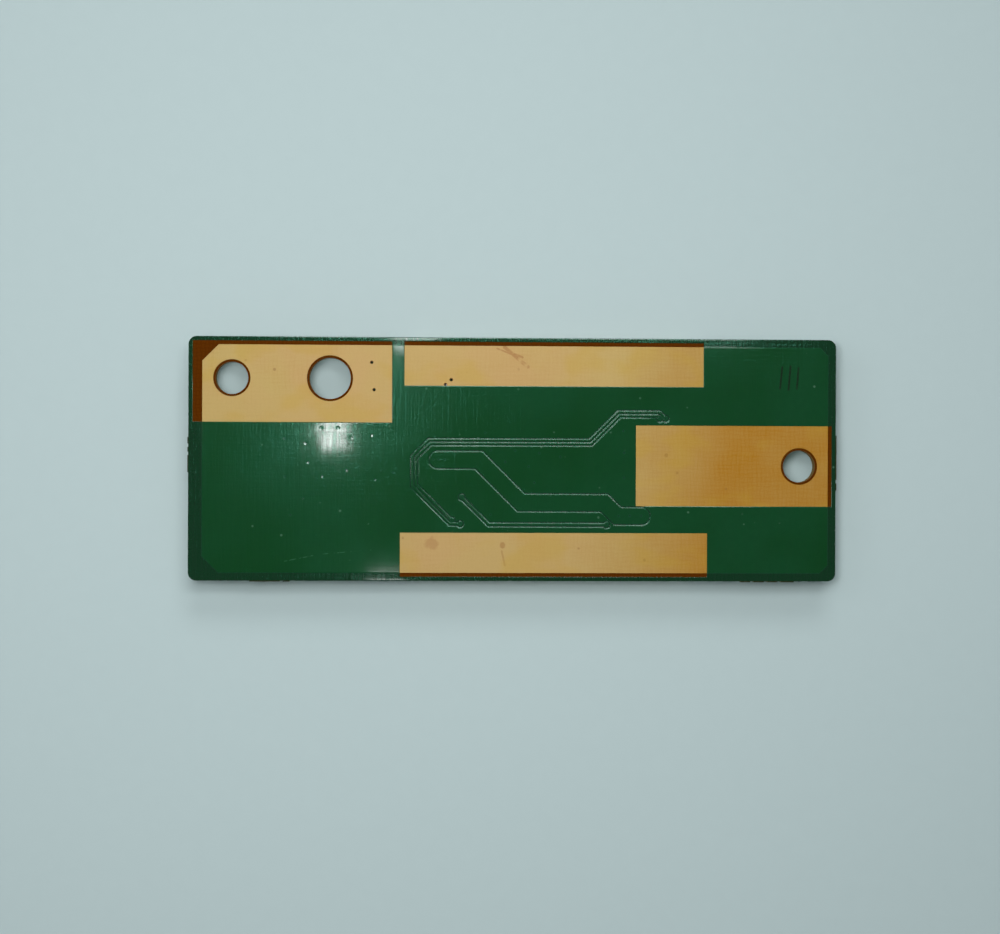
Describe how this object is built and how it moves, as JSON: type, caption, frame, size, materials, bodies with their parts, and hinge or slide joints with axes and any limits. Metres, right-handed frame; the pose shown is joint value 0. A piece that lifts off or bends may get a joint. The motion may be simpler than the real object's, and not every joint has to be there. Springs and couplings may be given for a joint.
{
  "type": "lvds adapter board",
  "caption": "Two-layer printed circuit board that joins two flat-display cable plugs, with gold-plated ground pads, screw holes and shielded right-angle receptacles.",
  "frame": {"origin": "middle of the board outline, on the plane that the two receptacle shells rest on", "axes": "+X along the board, towards the end with one screw hole; +Y across it, towards the edge of the upper receptacle; +Z out of the gold-plated ground side"},
  "size_m": [0.0802, 0.0301, 0.0046],
  "materials": {
    "laminate": "woven glass-epoxy laminate, brown where it is bare",
    "gold_plating": "thin matt gold plating over copper, slightly tarnished",
    "copper_foil": "copper foil under the mask, gold plated where it is bare",
    "solder_mask": "dark green glossy solder mask",
    "white_ink": "white printed lines",
    "via_plating": "plated copper barrels",
    "housing": "moulded cream plastic",
    "shell_sheet": "tin-plated steel sheet",
    "contact_metal": "gold-plated copper alloy",
    "solder": "bright solder fillets",
    "capacitor_body": "fired ceramic, tan",
    "end_caps": "tin-plated end caps",
    "fuse_body": "pale ceramic",
    "link_body": "dark coated ceramic"
  },
  "bodies": {
    "root": {"laminate": "laminate", "ground_copper_back": "gold_plating", "supply_track_back": "copper_foil", "signal_track_outer": "copper_foil", "signal_track_inner": "copper_foil", "control_track_back": "copper_foil", "solder_mask_back": "solder_mask", "ground_copper_front": "copper_foil", "signal_tracks_front": "copper_foil", "supply_copper_front": "copper_foil", "control_tracks_front": "copper_foil", "solder_mask_front": "solder_mask", "silkscreen_lines": "white_ink", "ground_vias": "via_plating", "signal_vias": "via_plating", "supply_vias": "via_plating", "upper_housing": "housing", "upper_shell": "shell_sheet", "upper_contacts": "contact_metal", "upper_tail_solder": "solder", "upper_shell_solder": "solder", "lower_housing": "housing", "lower_shell": "shell_sheet", "lower_contacts": "contact_metal", "lower_tail_solder": "solder", "lower_shell_solder": "solder", "upper_capacitor": "capacitor_body", "upper_capacitor_ends": "end_caps", "lower_capacitor": "capacitor_body", "lower_capacitor_ends": "end_caps", "supply_fuse": "fuse_body", "supply_fuse_ends": "end_caps", "control_link": "link_body", "control_link_ends": "end_caps", "chip_solder": "solder"}
  },
  "joints": []
}
